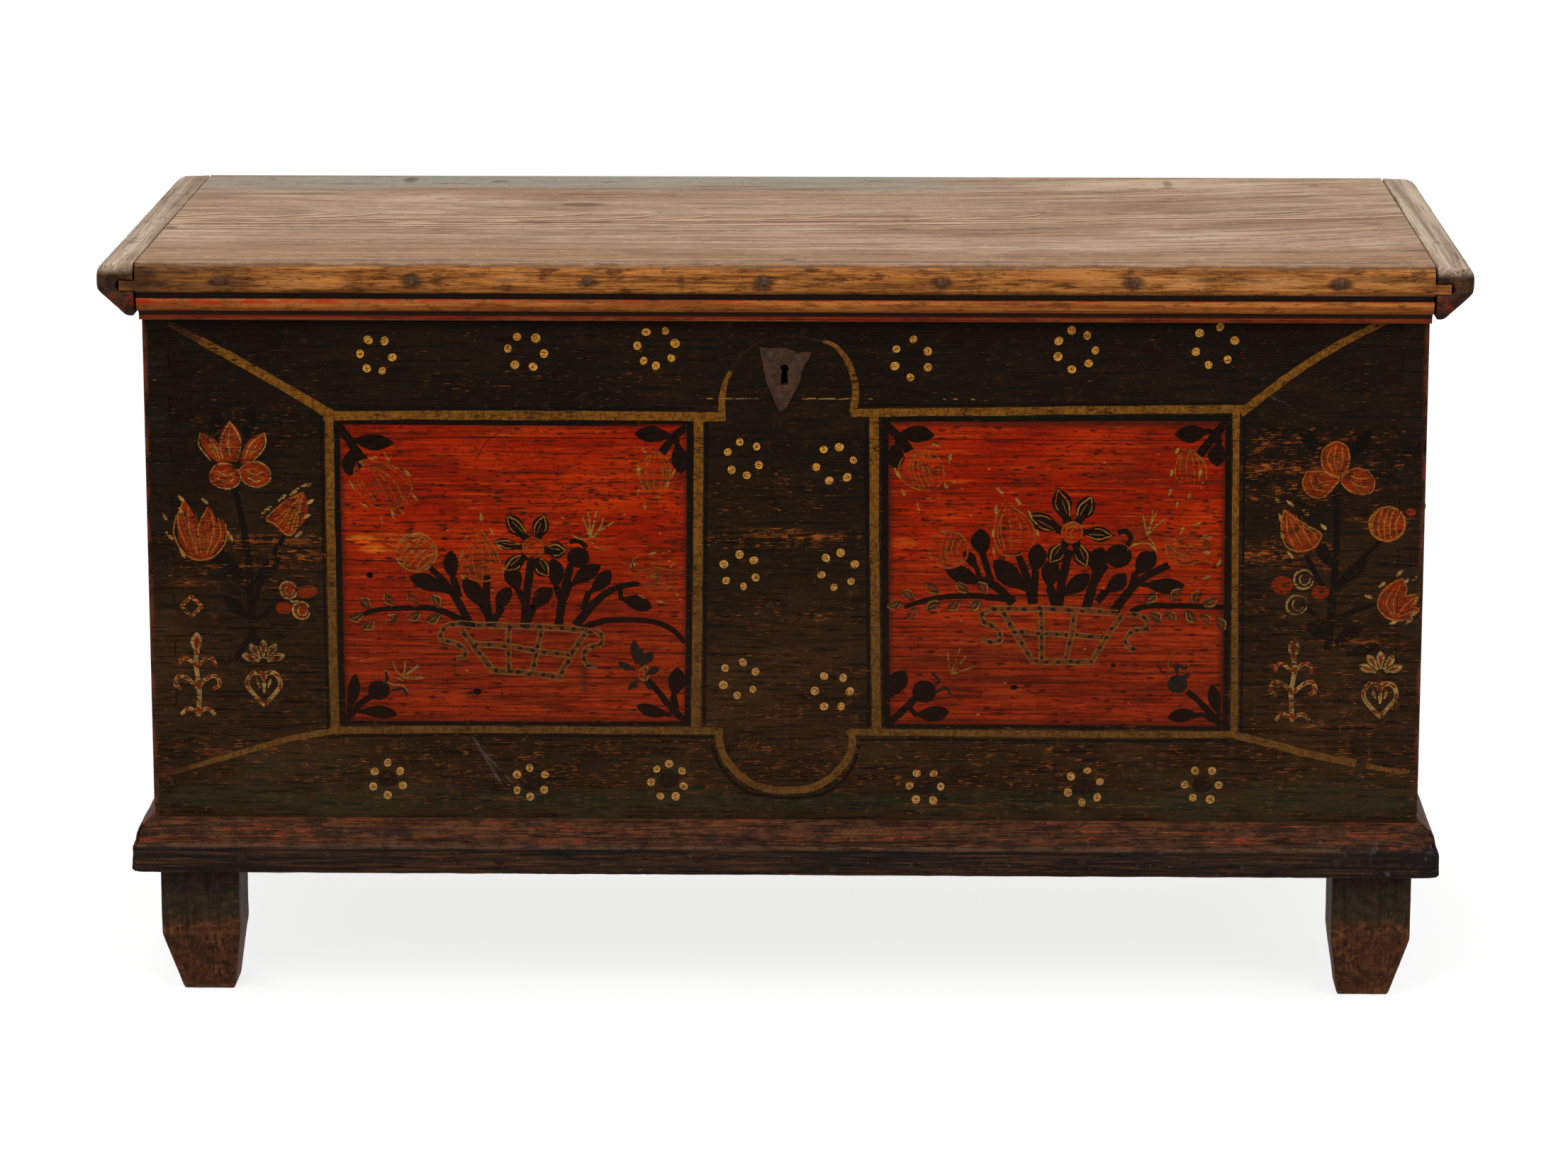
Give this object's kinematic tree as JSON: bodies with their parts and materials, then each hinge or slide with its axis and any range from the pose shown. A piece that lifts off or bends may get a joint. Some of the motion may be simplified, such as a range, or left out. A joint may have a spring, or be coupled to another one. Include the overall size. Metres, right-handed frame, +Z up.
{
  "type": "wedding chest",
  "caption": "Painted pine wedding chest: dovetailed case on block feet, hinged cleated lid, iron lock and staple, drop handles and an inner till.",
  "frame": {"origin": "on the floor under the centre of the chest's bounding box", "axes": "+X to the viewer's right along the front, +Y from the front to the back, +Z up"},
  "size_m": [1.2786, 0.5928, 0.7156],
  "materials": {
    "painted_front": "dark worn paint on pine, satin",
    "painted_side": "dark brown-red worn paint on pine",
    "bare_pine": "bare aged pine, matte",
    "foot_wood": "dark stained pine, worn at the edges",
    "plinth_wood": "dark paint with red remains",
    "weathered_lid": "bare weathered pine, matte",
    "lid_moulding": "worn orange-brown paint on pine",
    "wrought_iron": "forged and dark, lightly rusted",
    "nail_iron": "forged and rusted",
    "lock_iron": "cut iron sheet, lightly rusted"
  },
  "bodies": {
    "case": {"front_upper_board": "painted_front", "front_lower_board": "painted_front", "back_upper_board": "bare_pine", "back_lower_board": "bare_pine", "left_upper_board": "painted_side", "left_lower_board": "painted_side", "right_upper_board": "painted_side", "right_lower_board": "painted_side", "bottom_front_board": "bare_pine", "bottom_middle_board": "bare_pine", "bottom_rear_board": "bare_pine", "plinth_front": "plinth_wood", "plinth_left": "plinth_wood", "plinth_right": "plinth_wood", "till_front": "bare_pine", "till_floor": "bare_pine", "front_left_foot": "foot_wood", "front_right_foot": "foot_wood", "rear_left_foot": "foot_wood", "rear_right_foot": "foot_wood", "foot_wedges": "foot_wood", "hinge_back_strap_left": "wrought_iron", "hinge_pin_left": "wrought_iron", "hinge_back_strap_right": "wrought_iron", "hinge_pin_right": "wrought_iron", "escutcheon": "lock_iron", "lock_plate": "lock_iron", "lock_cover": "lock_iron", "bolt_guides": "lock_iron", "lock_spring": "lock_iron", "left_handle_eyes": "wrought_iron", "left_handle_rosettes": "wrought_iron", "right_handle_eyes": "wrought_iron", "right_handle_rosettes": "wrought_iron", "plinth_nails": "nail_iron", "bottom_nails": "nail_iron", "hinge_back_nails": "wrought_iron", "escutcheon_nails": "nail_iron", "lock_nails": "nail_iron"},
    "lid": {"lid_front_plank": "weathered_lid", "lid_rear_plank": "weathered_lid", "lid_left_cleat": "weathered_lid", "lid_right_cleat": "weathered_lid", "lid_front_moulding": "lid_moulding", "hinge_lid_strap_left": "wrought_iron", "hinge_lid_strap_right": "wrought_iron", "lid_staple": "lock_iron", "lid_moulding_nails": "nail_iron", "lid_cleat_nails": "nail_iron", "hinge_lid_nails": "wrought_iron", "lid_staple_nails": "nail_iron"},
    "lock_bolt": {"lock_bolt": "lock_iron"},
    "left_handle": {"left_handle_bail": "wrought_iron"},
    "right_handle": {"right_handle_bail": "wrought_iron"}
  },
  "joints": [
    {"name": "lid_hinge", "type": "hinge", "parent": "case", "child": "lid", "pos_m": [0, 0.2904, 0.6796], "axis": [-1, 0, 0], "range_deg": [0, 105]},
    {"name": "bolt_slide", "type": "slide", "parent": "case", "child": "lock_bolt", "axis": [1, 0, 0], "range_m": [0, 0.014]},
    {"name": "left_handle_swing", "type": "hinge", "parent": "case", "child": "left_handle", "pos_m": [-0.612, 0.0144, 0.44], "axis": [0, 1, 0], "range_deg": [-5, 175]},
    {"name": "right_handle_swing", "type": "hinge", "parent": "case", "child": "right_handle", "pos_m": [0.612, 0.0144, 0.44], "axis": [0, -1, 0], "range_deg": [-5, 175]}
  ]
}
